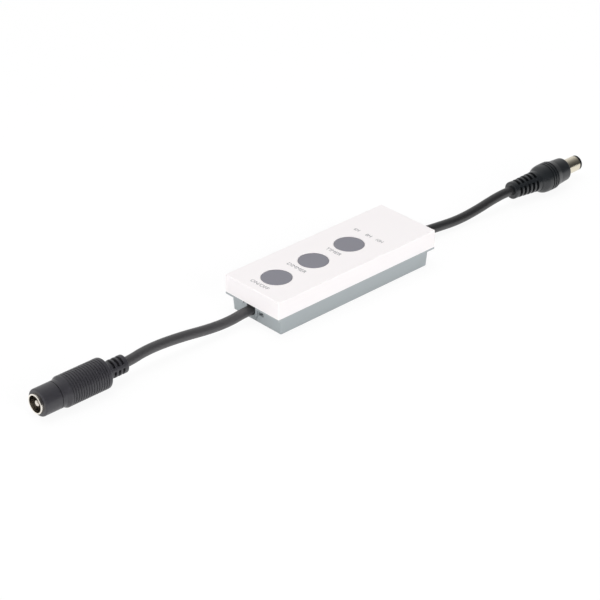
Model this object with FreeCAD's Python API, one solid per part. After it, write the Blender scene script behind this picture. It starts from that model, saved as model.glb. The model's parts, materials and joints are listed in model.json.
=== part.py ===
"""In-line push-button light dimmer: a flat two-shell housing with three round keys,
a socket lead on one end and a plug lead on the other.

Millimetres. Origin under the middle of the housing, +Z up, +X from the socket end
towards the plug end. Each function builds one piece; main() writes one file per piece.
"""
import FreeCAD, Part
import math
import os

V = FreeCAD.Vector
X_AXIS = V(1, 0, 0)
Z_AXIS = V(0, 0, 1)
ENDS = (-1, 1)                  # socket end, plug end
KEYS = ("on_off", "dimmer", "timer")
cut_over = 1.0                  # how far a cutter runs past what it cuts

# Cord and the tie that holds it
cord_diameter = 3.3
cord_y = 2.1                    # both cords leave beside the middle line
core_diameter = 1.1             # one insulated wire inside the cord
core_gap = 0.3                  # between the two wires
bend_share = 0.45               # of the shorter run beside a bend that its arc takes
tie_thickness = 0.5
tie_width = 1.6
tie_head = 2.2
tie_play = 0.03                 # between the tie and the cord's skin
tie_clearance = 0.14            # under the tie
board_clearance = 0.2           # over the tie

# Circuit board and the switches on it
board_thickness = 1.2
board_end_gap = 0.7             # to the snap hooks
board_side_gap = 0.6
switch_side = 6.0
switch_body_height = 3.2
switch_corner = 0.6
switch_plate = 0.3
switch_tab_width = 3.0
switch_tab_drop = 1.6
stem_diameter = 3.5
stem_height = 0.8               # above the switch's plate
stem_play = 0.05
stem_flange = 0.45              # how far the flange stands out round the stem
stem_flange_height = 0.4
stem_nub = 0.2                  # under the flange, over the dome
stem_nub_diameter = 1.75
switch_floor = 1.5              # plastic under the snap dome
dome_gap = 0.08                 # left over the dome when a key is pressed
dome_thickness = 0.1
switch_leg_width = 0.7
switch_leg_reach = 1.2
switch_leg_thickness = 0.15
switch_leg_spread = 4.5

# Keys
key_diameter = 10.0
key_pitch = 16.0
key_hook_gap = 0.172            # from a snap hook to the first key's guide
key_travel = 0.3
key_top = 1.0                   # thickness of a key's face
key_boss_height = 0.3
key_boss_diameter = 4.2
key_wall = 0.6
key_play = 0.08                 # between a key and its hole
key_lip = 0.6                   # how far the lip stands out under the cover
key_lip_height = 0.5
key_lip_gap = 0.05
key_edge = 0.15                 # chamfer round a key's face
guide_play = 0.15
guide_wall = 0.8
guide_depth = 1.5

# Upper shell
time_marks_gap = 8.65           # from the timer key's centre to the column of times
time_marks_pitch = 5.25
bare_end_length = 18.7          # from the column of times to the cover's end
cover_width = 25.0
cover_side = 6.2                # height of its outer walls
cover_wall = 1.8
cover_top = 1.6
cover_corner = 0.3
cover_edge = 0.25
hole_chamfer = 0.12
light_well_diameter = 2.2
light_well_wall = 0.6
light_well_gap = 0.5            # above each lamp
light_window = 0.6              # plastic left over each lamp
hold_down_diameter = 2.8
hold_down_gap = 0.05
inside_corner = 0.7

# Lower shell
floor_thickness = 1.5
base_wall = 1.5
base_end_setback = 2.3          # from the cover's end to the foot of the base
base_side_setback = 1.45
base_draft = 3.5                # degrees, each wall
base_corner = 0.4
cavity_corner = 0.7
base_edge = 0.3
flange_thickness = 0.7
lip_height = 1.2                # rim inside the cover
lip_wall = 0.7
lip_gap = 0.1
lip_inside_corner = 0.35
post_diameter = 3.2
post_inset = 1.9                # from the board's edges
peg_diameter = 1.5
peg_height = 0.9
peg_play = 0.1

# Cord notches in the end walls
notch_gap = 0.25
collar_wall = 1.0
collar_reach = 0.7              # beyond the foot of the base
cord_run = 3.2                  # straight cord in front of each collar
flange_relief = 1.8             # flange cut back beside each notch
rib_thickness = 1.0
rib_side = 1.0
rib_gap = 0.05
rib_inset = 1.7                 # from the cavity's end to the rib
tie_rib_gap = 0.1
tail_length = 7.1               # cord inside the housing, from the collar's face

# Snap hooks in the end walls
hook_width = 1.8
hook_thickness = 0.9
hook_gap = 0.12
hook_y = -2.15
hook_catch = 0.9
hook_tip_height = 0.4
hook_floor_gap = 1.2
window_floor_gap = 1.4
window_height = 1.6
window_play = 0.12
gusset_gap = 0.2

# Parts on the board
moulding_edge = 0.25
chip_length = 8.6
chip_width = 3.9
chip_height = 1.4
chip_leads_per_side = 7
chip_lead_pitch = 1.27
chip_lead_width = 0.42
chip_lead_reach = 0.9
chip_standoff = 0.15
transistor_length = 5.6
transistor_width = 6.1
transistor_height = 2.0
transistor_tab = 1.1
transistor_tab_inset = 0.25     # from the body's sides
transistor_tab_thickness = 0.5
transistor_leg_width = 0.8
transistor_leg_reach = 2.2
transistor_leg_pitch = 2.0
regulator_length = 4.5
regulator_width = 2.5
regulator_height = 1.5
regulator_y = 4.3
regulator_leg_width = 0.5
regulator_leg_reach = 0.9
regulator_leg_pitch = 1.5
capacitor_length = 7.3
capacitor_width = 4.3
capacitor_height = 2.8
capacitor_y = -3.3
capacitor_foot = 0.5
capacitor_foot_width = 2.2
power_parts_gap = 6.6           # from the column of times
leg_thickness = 0.25
resistor_length = 2.0
resistor_width = 1.25
resistor_height = 0.5
resistor_pitch = 2.5
resistor_count = 4
resistor_key_gap = 5.4          # from the timer key's centre
lamp_length = 1.6
lamp_width = 0.8
lamp_height = 0.7
lead_rise_radius = 1.8          # bend of the wires up to the board

# Socket at the end of the input cord
jack_face_x = -117.0
jack_y = 3.0
jack_nose_diameter = 8.85
jack_nose_length = 6.65
jack_nose_round = 1.1
jack_seam = 0.15
jack_spigot_diameter = 7.8
jack_spigot_length = 5.6
jack_spigot_play = 0.02
jack_neck_length = 1.45
jack_shoulder_length = 1.15
jack_body_diameter = 10.1
jack_body_length = 15.65
jack_rear_round = 1.1
jack_rib_count = 14
jack_rib_pitch = 0.95
jack_rib_depth = 0.26
jack_rib_start = 0.8            # behind the shoulder
jack_boot_diameter = 5.9
jack_boot_length = 7.7
jack_boot_edge = 0.3
jack_slot_count = 3
jack_slot_width = 0.85
jack_slot_pitch = 1.65
jack_slot_first = 2.0           # from the boot's end
jack_spine_angle = 20.0
sleeve_diameter = 6.44
sleeve_bore = 5.6
sleeve_play = 0.02
sleeve_depth = 10.8
sleeve_proud = 0.4              # how far the tube stands out of the nose
sleeve_slot_width = 1.7
sleeve_slot_start = 3.2
sleeve_slot_length = 5.4
spring_width = 1.4
spring_thickness = 0.22
spring_sink = 0.5               # how far the spring reaches into the bore
insulator_thickness = 1.3
insulator_play = 0.02
pin_diameter = 2.0
pin_foot_diameter = 2.8         # wider foot held in the insulator
pin_setback = 0.1
pin_play = 0.02
pin_tip_round = 0.5

# Plug at the end of the output cord
plug_face_x = 112.25
plug_y = -1.65
plug_front_diameter = 8.3
plug_front_round = 0.85
plug_neck_diameter = 9.0
plug_neck_length = 5.75
plug_step_length = 1.5
plug_step_bow = 0.1
plug_body_diameter = 10.15
plug_band_length = 3.3
plug_groove_count = 3
plug_groove_pitch = 1.15
plug_groove_width = 0.5
plug_groove_depth = 0.3
plug_dome_length = 3.7
plug_dome_diameter = 7.2
plug_dome_bow = 0.28
plug_boot_pivot = 9.25          # behind the front face, where the tail starts to bend
plug_boot_bend = 4.0            # degrees towards +Y
plug_boot_length = 17.0         # from the pivot to the tail's end
plug_boot_root_diameter = 8.1
plug_boot_tail_diameter = 6.2
plug_boot_edge = 0.5
plug_exit_run = 2.8             # cord in line with the tail
plug_slot_count = 5
plug_slot_width = 1.0
plug_slot_pitch = 1.9
plug_slot_first = 2.45          # from the tail's end
plug_spine_angle = 42.0
boot_spine_width = 1.3
boot_core_wall = 0.35           # skin left over the cord at the foot of each slot
barrel_diameter = 5.5
barrel_bore = 4.4
barrel_exposed = 6.5
barrel_root_diameter = 5.9      # shoulder flush with the grip's face
barrel_root_length = 0.4
barrel_flange_diameter = 6.8
barrel_flange_length = 1.6
barrel_play = 0.01
tip_length = 1.2
tip_round = 0.3
tip_diameter = 5.4
lining_play = 0.01
contact_bore = 2.1
contact_wall = 0.3
contact_play = 0.02
contact_setback = 0.35
contact_length = 8.3

# Heights that follow
cord_radius = cord_diameter / 2
tie_outer = cord_radius + tie_play + tie_thickness
cord_z = floor_thickness + tie_clearance + tie_outer
board_z = cord_z + tie_outer + board_clearance
board_top = board_z + board_thickness
plate_z = board_top + switch_body_height
plate_top = plate_z + switch_plate
stem_top = plate_top + stem_height
housing_height = stem_top + key_boss_height + key_top
cover_under = housing_height - cover_top
parting_z = housing_height - cover_side
flange_z = parting_z - flange_thickness
key_radius = key_diameter / 2
lip_top = parting_z + lip_height
well_depth = switch_body_height - switch_floor
dome_height = (well_depth - stem_play - stem_flange_height - stem_nub - key_travel - dome_gap)

# Plan sizes that follow
draft_slope = math.tan(math.radians(base_draft))
guide_radius = key_radius + key_lip + guide_play
hook_face_inset = base_end_setback + base_wall - floor_thickness * draft_slope + hook_gap
hook_inset = hook_face_inset + hook_thickness
first_key_inset = hook_inset + key_hook_gap + guide_radius
key_span = (len(KEYS) - 1) * key_pitch
cover_length = first_key_inset + key_span + time_marks_gap + bare_end_length
first_key_x = first_key_inset - cover_length / 2
timer_key_x = first_key_x + key_span
time_marks_x = timer_key_x + time_marks_gap
power_parts_x = time_marks_x + power_parts_gap
inner_half_length = cover_length / 2 - cover_wall
inner_half_width = cover_width / 2 - cover_wall
foot_half_length = cover_length / 2 - base_end_setback
foot_half_width = cover_width / 2 - base_side_setback
collar_face = foot_half_length + collar_reach
hook_face = cover_length / 2 - hook_face_inset
board_half_length = hook_face - hook_thickness - board_end_gap
board_half_width = inner_half_width - lip_gap - lip_wall - board_side_gap
post_x = board_half_length - post_inset
post_y = board_half_width - post_inset
connector_z = max(jack_body_diameter, plug_body_diameter) / 2
barrel_back = -(barrel_root_length + barrel_flange_length)

# Cord routes: points of each free stretch, housing first
plug_bend = math.radians(plug_boot_bend)
plug_tail_way = V(-math.cos(plug_bend), math.sin(plug_bend), 0)
plug_pivot = V(plug_face_x - plug_boot_pivot, plug_y, connector_z)
plug_tail_end = plug_pivot + plug_tail_way * plug_boot_length
jack_tail_x = (jack_face_x + jack_nose_length + jack_seam + jack_neck_length
               + jack_shoulder_length + jack_body_length + jack_boot_length)
input_route = [
    V(-collar_face, cord_y, cord_z),
    V(-collar_face - cord_run, cord_y, cord_z),
    V(-42.6, 2.2, 3.1),
    V(-50.6, 2.45, 3.5),
    V(-60.2, 2.75, 4.95),
    V(-69.6, 3.05, 5.8),
    V(-76.6, 3.15, 5.75),
    V(-81.6, jack_y, connector_z),
    V(jack_tail_x, jack_y, connector_z),
]
output_route = [
    V(collar_face, cord_y, cord_z),
    V(collar_face + cord_run, cord_y, cord_z),
    V(42.6, 1.9, 3.5),
    V(51.2, 1.4, 2.75),
    V(60.6, 0.8, 2.2),
    V(69.6, 0.35, 3.1),
    V(77.4, -0.1, 4.65),
    plug_tail_end + plug_tail_way * plug_exit_run,
    plug_tail_end,
]


def box(x0, x1, y0, y1, z0, z1):
    """Block between two corners."""
    return Part.makeBox(x1 - x0, y1 - y0, z1 - z0, V(x0, y0, z0))


def slab(centre_x, centre_y, length, width, z0, z1):
    """Block centred on a point of the plan."""
    return box(centre_x - length / 2, centre_x + length / 2,
               centre_y - width / 2, centre_y + width / 2, z0, z1)


def rod(diameter, z0, z1, x, y):
    """Upright cylinder."""
    return Part.makeCylinder(diameter / 2, z1 - z0, V(x, y, z0))


def rounded_outline(half_x, half_y, radius, z):
    """Level rectangle with round corners, as a closed wire."""
    signs = ((1, 1), (-1, 1), (-1, -1), (1, -1))
    arcs = []
    for turn, (sign_x, sign_y) in enumerate(signs):
        centre = V(sign_x * (half_x - radius), sign_y * (half_y - radius), z)
        angles = [math.radians(90 * turn + step) for step in (0, 45, 90)]
        arcs.append([centre + V(math.cos(a), math.sin(a), 0) * radius for a in angles])
    edges = []
    for arc, after in zip(arcs, arcs[1:] + arcs[:1]):
        edges.append(Part.Arc(*arc).toShape())
        edges.append(Part.LineSegment(arc[2], after[0]).toShape())
    return Part.Wire(edges)


def rounded_block(half_x, half_y, radius, z0, z1):
    """Straight-sided block with round upright corners."""
    face = Part.Face(rounded_outline(half_x, half_y, radius, z0))
    return face.extrude(V(0, 0, z1 - z0))


def drafted_block(half_x, half_y, radius, z0, z1):
    """Block that widens upwards by the base's draft; half sizes are those at z = 0."""
    outlines = []
    for z in (z0, z1):
        spread = z * draft_slope
        outlines.append(rounded_outline(half_x + spread, half_y + spread, radius, z))
    return Part.makeLoft(outlines, True, True)


def edges_at(shape, z):
    """Edges that lie wholly at one height."""
    near = 1e-4
    return [e for e in shape.Edges
            if abs(e.BoundBox.ZMin - z) < near and abs(e.BoundBox.ZMax - z) < near]


def turned(outline):
    """Solid turned about the X axis.

    The outline is a closed run of (x, r) corners; a step of four numbers is an arc
    given by a point on it and its end.
    """
    start = V(outline[0][0], 0, outline[0][1])
    here = start
    edges = []
    for step in outline[1:]:
        end = V(step[-2], 0, step[-1])
        if len(step) == 4:
            edges.append(Part.Arc(here, V(step[0], 0, step[1]), end).toShape())
        else:
            edges.append(Part.LineSegment(here, end).toShape())
        here = end
    edges.append(Part.LineSegment(here, start).toShape())
    return Part.Face(Part.Wire(edges)).revolve(V(0, 0, 0), X_AXIS, 360)


def tube_x(outer, inner, x0, x1):
    """Tube along the X axis."""
    hull = Part.makeCylinder(outer / 2, x1 - x0, V(x0, 0, 0), X_AXIS)
    return hull.cut(Part.makeCylinder(inner / 2, x1 - x0, V(x0, 0, 0), X_AXIS))


def rod_x(diameter, x0, x1, y=0.0, z=0.0):
    """Cylinder along X."""
    return Part.makeCylinder(diameter / 2, x1 - x0, V(x0, y, z), X_AXIS)


def arc_middle(centre, radius, degrees):
    """Point at an angle on a circle in the (x, r) plane of a turned outline."""
    angle = math.radians(degrees)
    return (centre[0] + radius * math.cos(angle), centre[1] + radius * math.sin(angle))


def bowed(start, end, bow):
    """Arc step of a turned outline that bulges outwards by the given height."""
    along = V(end[0] - start[0], 0, end[1] - start[1])
    outwards = V(along.z, 0, -along.x) if along.x < 0 else V(-along.z, 0, along.x)
    outwards.normalize()
    return ((start[0] + end[0]) / 2 + outwards.x * bow, (start[1] + end[1]) / 2 + outwards.z * bow,
            end[0], end[1])


def mirrored(shape, end):
    """The socket end's piece as it is, or its mirror image at the plug end."""
    return shape if end < 0 else shape.mirror(V(0, 0, 0), X_AXIS)


def key_centres():
    """Plan position of each key."""
    return [first_key_x + key_pitch * index for index in range(len(KEYS))]


def corner_posts():
    """Plan positions of the four board posts."""
    return [(x * post_x, y * post_y) for x in ENDS for y in (-1, 1)]


def lamp_centres():
    """Plan positions of the three lamps that show the chosen time."""
    return [(time_marks_x, time_marks_pitch * row) for row in (1, 0, -1)]


def notch_cutter():
    """Slot that a cord is laid into from above, at the socket end; the flange is open further."""
    diameter = cord_diameter + 2 * notch_gap
    x0 = -cover_length / 2 - cut_over
    x1 = -(foot_half_length - base_wall) + rib_inset / 2
    bore = rod_x(diameter, x0, x1, cord_y, cord_z)
    side = cord_y - diameter / 2
    slot = box(x0, x1, side, side + diameter, cord_z, lip_top + cut_over)
    relief = box(x0, -collar_face, side - flange_relief, cord_y, flange_z, parting_z)
    return bore.fuse([slot, relief])


def notch_collar():
    """Raised rim round the cord notch, at the socket end."""
    radius = cord_radius + notch_gap + collar_wall
    root = -foot_half_length + base_wall / 2
    ring = rod_x(2 * radius, -collar_face, root, cord_y, cord_z)
    sides = box(-collar_face, root, cord_y - radius, cord_y + radius, cord_z, flange_z)
    return ring.fuse(sides)


def cord_rib():
    """Rib in the base with a saddle under the cord, at the socket end."""
    x0 = -(foot_half_length - base_wall) + rib_inset
    half = cord_radius + rib_side
    rib = box(x0, x0 + rib_thickness, cord_y - half, cord_y + half, floor_thickness, cord_z)
    return rib.cut(rod_x(cord_diameter + 2 * rib_gap, x0, x0 + rib_thickness, cord_y, cord_z))


def latch_window():
    """Hole in the end wall for the hook's catch, at the socket end."""
    z0 = floor_thickness + window_floor_gap
    half = hook_width / 2 + window_play
    return box(-cover_length / 2, -(foot_half_length - base_wall) + cut_over,
               hook_y - half, hook_y + half, z0, z0 + window_height)


def bottom_case():
    """Lower shell: drafted tray with a flange, a rim, board posts and cord notches."""
    tray = drafted_block(foot_half_length, foot_half_width, base_corner, 0, parting_z)
    tray = tray.makeFillet(base_edge, edges_at(tray, 0))
    flange = rounded_block(cover_length / 2, cover_width / 2, cover_corner, flange_z, parting_z)
    lip = rounded_block(inner_half_length - lip_gap, inner_half_width - lip_gap, inside_corner,
                        parting_z - flange_thickness / 2, lip_top)
    case = tray.fuse([flange, lip] + [mirrored(notch_collar(), end) for end in ENDS])
    cavity = drafted_block(foot_half_length - base_wall, foot_half_width - base_wall,
                           cavity_corner, floor_thickness, parting_z)
    lip_inside = rounded_block(inner_half_length - lip_gap - lip_wall,
                               inner_half_width - lip_gap - lip_wall, lip_inside_corner,
                               parting_z, lip_top + cut_over)
    case = case.cut([cavity, lip_inside])
    posts = []
    for x, y in corner_posts():
        posts.append(rod(post_diameter, floor_thickness, board_z, x, y))
        posts.append(rod(peg_diameter, floor_thickness, board_z + peg_height, x, y))
    case = case.fuse(posts + [mirrored(cord_rib(), end) for end in ENDS])
    holes = [mirrored(cutter, end) for end in ENDS for cutter in (notch_cutter(), latch_window())]
    return case.cut(holes)


def snap_hook():
    """Arm under the cover with a catch for the base's window, at the socket end."""
    z0 = floor_thickness + hook_floor_gap
    low = floor_thickness + window_floor_gap + window_play
    high = low + window_height - 2 * window_play
    out = -hook_face
    tip = out - hook_gap - hook_catch
    points = [V(out + hook_thickness, 0, cover_under), V(out, 0, cover_under), V(out, 0, high),
              V(tip, 0, high), V(tip, 0, high - hook_tip_height), V(out, 0, low),
              V(out, 0, z0), V(out + hook_thickness, 0, z0)]
    profile = Part.Face(Part.makePolygon(points + points[:1]))
    arm = profile.extrude(V(0, hook_width, 0))
    gusset = box(-inner_half_length, out + hook_thickness, 0, hook_width, lip_top + gusset_gap,
                 cover_under)
    hook = arm.fuse(gusset)
    hook.translate(V(0, hook_y - hook_width / 2, 0))
    return hook


def cord_saddle():
    """Rib under the cover that closes the notch over the cord, at the socket end."""
    x0 = -hook_face
    half = cord_radius
    rib = box(x0, x0 + rib_thickness, cord_y - half, cord_y + half, cord_z, cover_under)
    return rib.cut(rod_x(cord_diameter + 2 * rib_gap, x0, x0 + rib_thickness, cord_y, cord_z))


def top_cover():
    """Upper shell: five walls with key holes, key guides, lamp wells and snap hooks."""
    shell = rounded_block(cover_length / 2, cover_width / 2, cover_corner, parting_z, housing_height)
    shell = shell.makeFillet(cover_edge, edges_at(shell, housing_height))
    inside = rounded_block(inner_half_length, inner_half_width, inside_corner, parting_z,
                           cover_under)
    shell = shell.cut(inside)
    added = [rod(2 * (guide_radius + guide_wall), cover_under - guide_depth, cover_under, x, 0)
             for x in key_centres()]
    added += [rod(hold_down_diameter, board_top + hold_down_gap, cover_under, x, y)
              for x, y in corner_posts()]
    added += [rod(light_well_diameter + 2 * light_well_wall,
                  board_top + lamp_height + light_well_gap, cover_under, x, y)
              for x, y in lamp_centres()]
    added += [mirrored(piece, end) for end in ENDS for piece in (snap_hook(), cord_saddle())]
    shell = shell.fuse(added)
    holes = []
    for x in key_centres():
        radius = key_radius + key_play
        holes.append(rod(2 * radius, cover_under, housing_height, x, 0))
        holes.append(rod(2 * guide_radius, cover_under - guide_depth - cut_over, cover_under, x, 0))
        holes.append(Part.makeCone(radius, radius + hole_chamfer, hole_chamfer,
                                   V(x, 0, housing_height - hole_chamfer)))
    for x, y in lamp_centres():
        holes.append(rod(light_well_diameter, board_top, housing_height - light_window, x, y))
    return shell.cut(holes)


def key_cap(x):
    """One round key: a hollow cap, a lip that stops it under the cover and a middle boss."""
    lip_z = cover_under - key_lip_gap
    bottom = lip_z - key_lip_height
    face_under = housing_height - key_top
    cap = rod(key_diameter, bottom, housing_height, x, 0)
    cap = cap.makeChamfer(key_edge, edges_at(cap, housing_height))
    cap = cap.fuse(rod(key_diameter + 2 * key_lip, bottom, lip_z, x, 0))
    cap = cap.cut(rod(key_diameter - 2 * key_wall, bottom, face_under, x, 0))
    return cap.fuse(rod(key_boss_diameter, stem_top, face_under, x, 0))


def switch_block(x, z0, z1):
    """Square block of a push switch, its upright edges chamfered."""
    block = slab(x, 0, switch_side, switch_side, z0, z1)
    return block.makeChamfer(switch_corner, [e for e in block.Edges if e.BoundBox.ZLength > (z1 - z0) / 2])


def switch_base(x):
    """Plastic body of a push switch, with its well and four flat legs."""
    half = switch_side / 2
    body = switch_block(x, board_top, plate_z)
    legs = [slab(x + side_x * half, side_y * switch_leg_spread / 2, 2 * switch_leg_reach,
                 switch_leg_width, board_top, board_top + switch_leg_thickness)
            for side_x in (-1, 1) for side_y in (-1, 1)]
    well = rod(stem_diameter + 2 * (stem_flange + stem_play), board_top + switch_floor, plate_z, x, 0)
    return body.fuse(legs).cut(well)


def switch_cover_plate(x):
    """Sheet-metal lid of a push switch, holed for the stem, with a tab down two sides."""
    plate = switch_block(x, plate_z, plate_top)
    tabs = [slab(x, side * (switch_side + switch_plate) / 2, switch_tab_width, switch_plate,
                 plate_z - switch_tab_drop, plate_top) for side in (-1, 1)]
    return plate.fuse(tabs).cut(rod(stem_diameter + 2 * stem_play, plate_z, plate_top, x, 0))


def switch_stem(x):
    """Plunger of a push switch; its flange is caught under the lid."""
    flange_top = plate_z - stem_play
    flange_bottom = flange_top - stem_flange_height
    stem = rod(stem_diameter, flange_bottom, stem_top, x, 0)
    flange = rod(stem_diameter + 2 * stem_flange, flange_bottom, flange_top, x, 0)
    nub = rod(stem_nub_diameter, flange_bottom - stem_nub, flange_bottom, x, 0)
    return stem.fuse([flange, nub])


def switch_dome(x):
    """Snap disc on the floor of the well, at the height it has under a pressed key."""
    z0 = board_top + switch_floor
    rim = stem_diameter / 2 + stem_flange
    radius = (rim ** 2 + dome_height ** 2) / (2 * dome_height)
    centre = V(x, 0, z0 + dome_height - radius)
    outer = Part.makeSphere(radius, centre)
    inner = Part.makeSphere(radius - dome_thickness, centre)
    return outer.cut(inner).common(rod(4 * rim, z0, z0 + radius, x, 0))


def circuit_board():
    """Board with a hole for each locating peg."""
    board = box(-board_half_length, board_half_length, -board_half_width, board_half_width,
                board_z, board_top)
    return board.cut([rod(peg_diameter + 2 * peg_play, board_z, board_top, x, y)
                      for x, y in corner_posts()])


def flat_leg(x, y, length, width, thickness=leg_thickness):
    """Metal leg lying on the board."""
    return slab(x, y, length, width, board_top, board_top + thickness)


def control_chip():
    """Controller with a row of legs down each side, between the first two keys."""
    x = first_key_x + key_pitch / 2
    z0 = board_top + chip_standoff
    body = slab(x, 0, chip_width, chip_length, z0, z0 + chip_height)
    body = body.makeChamfer(moulding_edge, edges_at(body, z0 + chip_height))
    first = -chip_lead_pitch * (chip_leads_per_side - 1) / 2
    legs = []
    for index in range(chip_leads_per_side):
        y = first + chip_lead_pitch * index
        legs.append(flat_leg(x, y, chip_width + 2 * chip_lead_reach, chip_lead_width))
    return body.fuse(legs)


def power_transistor():
    """Power switch with a cooling tab and two legs, between the last two keys."""
    x = first_key_x + key_pitch * 1.5
    body = slab(x, 0, transistor_length, transistor_width, board_top, board_top + transistor_height)
    body = body.makeChamfer(moulding_edge, edges_at(body, board_top + transistor_height))
    back = transistor_width / 2
    tab = flat_leg(x, back, transistor_length - 2 * transistor_tab_inset, 2 * transistor_tab,
                   transistor_tab_thickness)
    legs = [flat_leg(x + side * transistor_leg_pitch, -back, transistor_leg_width,
                     2 * transistor_leg_reach) for side in (-1, 1)]
    return body.fuse([tab] + legs)


def voltage_regulator():
    """Small regulator with three legs, at the plug end of the board."""
    body = slab(power_parts_x, regulator_y, regulator_length, regulator_width, board_top,
                board_top + regulator_height)
    legs = [flat_leg(power_parts_x + row * regulator_leg_pitch, regulator_y - regulator_width / 2,
                     regulator_leg_width, 2 * regulator_leg_reach) for row in (-1, 0, 1)]
    return body.fuse(legs)


def filter_capacitor():
    """Moulded block capacitor with a metal foot at each end."""
    top = board_top + capacitor_height
    body = slab(power_parts_x, capacitor_y, capacitor_length, capacitor_width, board_top, top)
    body = body.makeChamfer(moulding_edge, edges_at(body, top))
    feet = [flat_leg(power_parts_x + side * capacitor_length / 2, capacitor_y, 2 * capacitor_foot,
                     capacitor_foot_width) for side in (-1, 1)]
    return body.fuse(feet)


def chip_resistors():
    """Row of loose chip resistors beside the timer switch."""
    x = timer_key_x + resistor_key_gap
    first = -resistor_pitch * (resistor_count - 1) / 2
    return Part.makeCompound([
        slab(x, first + resistor_pitch * index, resistor_width, resistor_length,
             board_top, board_top + resistor_height) for index in range(resistor_count)])


def timer_lamps():
    """Three lamps under the wells of the cover."""
    return Part.makeCompound([
        slab(x, y, lamp_width, lamp_length, board_top, board_top + lamp_height)
        for x, y in lamp_centres()])


def cord_tail(end):
    """Cord from the collar's face to the end of its jacket inside the housing."""
    return mirrored(rod_x(cord_diameter, -collar_face, -collar_face + tail_length, cord_y, cord_z), end)


def cord_tie(end):
    """Band round the cord behind the base's rib, with its square head; it stops a pull."""
    x0 = -(foot_half_length - base_wall) + rib_inset + rib_thickness + tie_rib_gap
    band = rod_x(2 * tie_outer, x0, x0 + tie_width, cord_y, cord_z)
    head_y = cord_y - tie_outer
    head = box(x0, x0 + tie_width, head_y - tie_head / 2, head_y + tie_head / 2,
               cord_z - tie_head / 2, cord_z + tie_head / 2)
    bore = rod_x(cord_diameter + 2 * tie_play, x0, x0 + tie_width, cord_y, cord_z)
    return mirrored(band.fuse(head).cut(bore), end)


def lead_wires(end):
    """Two insulated wires from the cord's jacket up to the underside of the board."""
    wires = []
    for side in (-1, 1):
        y = cord_y + side * (core_diameter + core_gap) / 2
        start = V(-collar_face + tail_length, y, cord_z)
        corner = V(start.x + core_diameter + lead_rise_radius, y, cord_z)
        wires.append(bent_tube([start, corner, V(corner.x, y, board_z)], core_diameter,
                               lead_rise_radius))
    return mirrored(Part.makeCompound(wires), end)


def bent_path(points, radii):
    """Straight runs joined by tangent arcs, one radius per inner point."""
    edges = []
    here = points[0]
    for index, radius in enumerate(radii, start=1):
        before = points[index] - points[index - 1]
        after = points[index + 1] - points[index]
        before.normalize()
        after.normalize()
        turn = before.getAngle(after)
        reach = radius * math.tan(turn / 2)
        enter = points[index] - before * reach
        leave = points[index] + after * reach
        inward = after - before
        inward.normalize()
        middle = points[index] + inward * (radius / math.cos(turn / 2) - radius)
        edges.append(Part.LineSegment(here, enter).toShape())
        edges.append(Part.Arc(enter, middle, leave).toShape())
        here = leave
    edges.append(Part.LineSegment(here, points[-1]).toShape())
    return Part.Wire(edges)


def sweep(path, points, diameter):
    """Round tube along a path that starts along the first run of the points."""
    ring = Part.makeCircle(diameter / 2, points[0], points[1] - points[0])
    return path.makePipeShell([Part.Wire([ring])], True, True)


def bent_tube(points, diameter, radius):
    """Tube with the same bend radius at every inner point."""
    return sweep(bent_path(points, [radius] * (len(points) - 2)), points, diameter)


def free_cord(name, points):
    """Free stretch of cord, each bend as large as its two runs allow."""
    radii = []
    for before, here, after in zip(points, points[1:], points[2:]):
        turn = (here - before).getAngle(after - here)
        shorter = min((here - before).Length, (after - here).Length)
        radii.append(bend_share * shorter / math.tan(turn / 2))
    path = bent_path(points, radii)
    cord = sweep(path, points, cord_diameter)
    expected = path.Length * math.pi * cord_radius ** 2
    print(f"{name}: length {path.Length:.2f} mm, radii", [round(r, 1) for r in radii],
          f"volume / (section x length) {cord.Volume / expected:.5f}")
    return cord


def slot_cutters(tail_x, first, pitch, count, width, outer, spine_angle, way):
    """Open slots of a strain relief, in rows behind its tail end; a spine is left on two sides."""
    core = cord_diameter + 2 * boot_core_wall
    cutters = []
    for index in range(count):
        middle = tail_x + way * (first + index * pitch)
        ring = tube_x(outer + 2 * cut_over, core, middle - width / 2, middle + width / 2)
        spine = box(middle - width, middle + width, -outer, outer,
                    -boot_spine_width / 2, boot_spine_width / 2)
        spine.rotate(V(0, 0, 0), X_AXIS, -spine_angle)
        cutters.append(ring.cut(spine))
    return cutters


def placed(shape, x, y, z):
    """The shape moved to its place."""
    shape.translate(V(x, y, z))
    return shape


def jack_body():
    """Moulded grip of the socket: neck, shoulder, fine ribs, round rear and slotted tail."""
    neck = jack_nose_diameter / 2
    full = jack_body_diameter / 2
    boot = jack_boot_diameter / 2
    front = jack_nose_length + jack_seam
    shoulder = front + jack_neck_length
    ribs_from = shoulder + jack_shoulder_length
    rear = ribs_from + jack_body_length
    tail = rear + jack_boot_length
    outline = [(front, 0), (front, neck), (shoulder, neck), (ribs_from, full)]
    first = ribs_from + jack_rib_start
    outline.append((first, full))
    for index in range(jack_rib_count):
        crest = first + (index + 1) * jack_rib_pitch
        outline.append((crest - jack_rib_pitch / 2, full - jack_rib_depth))
        outline.append((crest, full))
    rim = (rear - jack_rear_round, full - jack_rear_round)
    outline.append((rim[0], full))
    outline.append(arc_middle(rim, jack_rear_round, 45) + (rear, rim[1]))
    outline += [(rear, boot), (tail - jack_boot_edge, boot), (tail, boot - jack_boot_edge), (tail, 0)]
    body = turned(outline)
    spigot = rod_x(jack_spigot_diameter + 2 * jack_spigot_play, front,
                   jack_nose_length + jack_spigot_length)
    slots = slot_cutters(tail, jack_slot_first, jack_slot_pitch, jack_slot_count, jack_slot_width,
                         jack_boot_diameter, jack_spine_angle, -1)
    return placed(body.cut([spigot] + slots), jack_face_x, jack_y, connector_z)


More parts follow.
